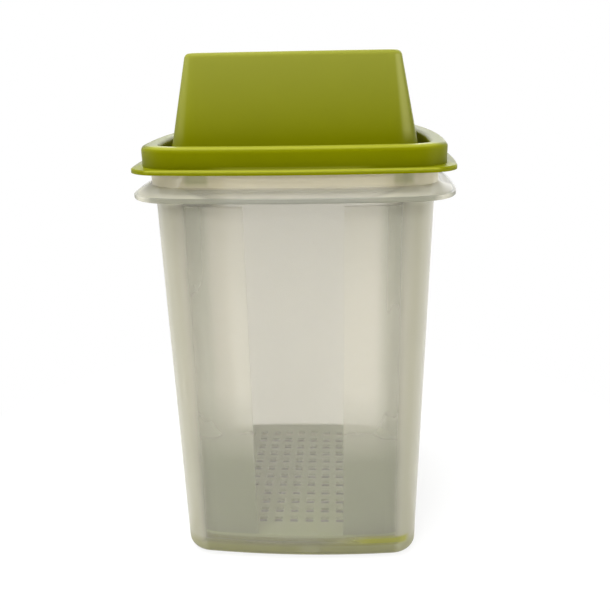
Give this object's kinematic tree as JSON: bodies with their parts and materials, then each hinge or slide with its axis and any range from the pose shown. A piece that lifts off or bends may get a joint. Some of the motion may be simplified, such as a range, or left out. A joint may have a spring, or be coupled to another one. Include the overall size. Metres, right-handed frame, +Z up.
{
  "type": "pickle keeper",
  "caption": "Tall square food keeper: frosted container with a shelf below its rim, lift-out strainer basket with an arched handle, and a domed press-on lid.",
  "frame": {"origin": "centre of the container's base, on the surface it stands on", "axes": "+Z up, +X to the right and +Y away, seen from the side with the strainer's slot, which faces -Y"},
  "size_m": [0.142, 0.142, 0.2372],
  "materials": {
    "frosted_container": "frosted, see-through, satin",
    "frosted_strainer": "frosted, see-through, satin",
    "olive_lid": "satin, opaque"
  },
  "bodies": {
    "container": {"container": "frosted_container"},
    "strainer": {"strainer_floor": "frosted_strainer", "strainer_wall": "frosted_strainer", "lift_handle": "frosted_strainer"},
    "lid": {"lid": "olive_lid"}
  },
  "joints": [
    {"name": "strainer_lift", "type": "slide", "parent": "container", "child": "strainer", "axis": [0, 0, 1], "range_m": [0, 0.21]},
    {"name": "lid_lift", "type": "slide", "parent": "strainer", "child": "lid", "axis": [0, 0, 1], "range_m": [0, 0.09]}
  ]
}
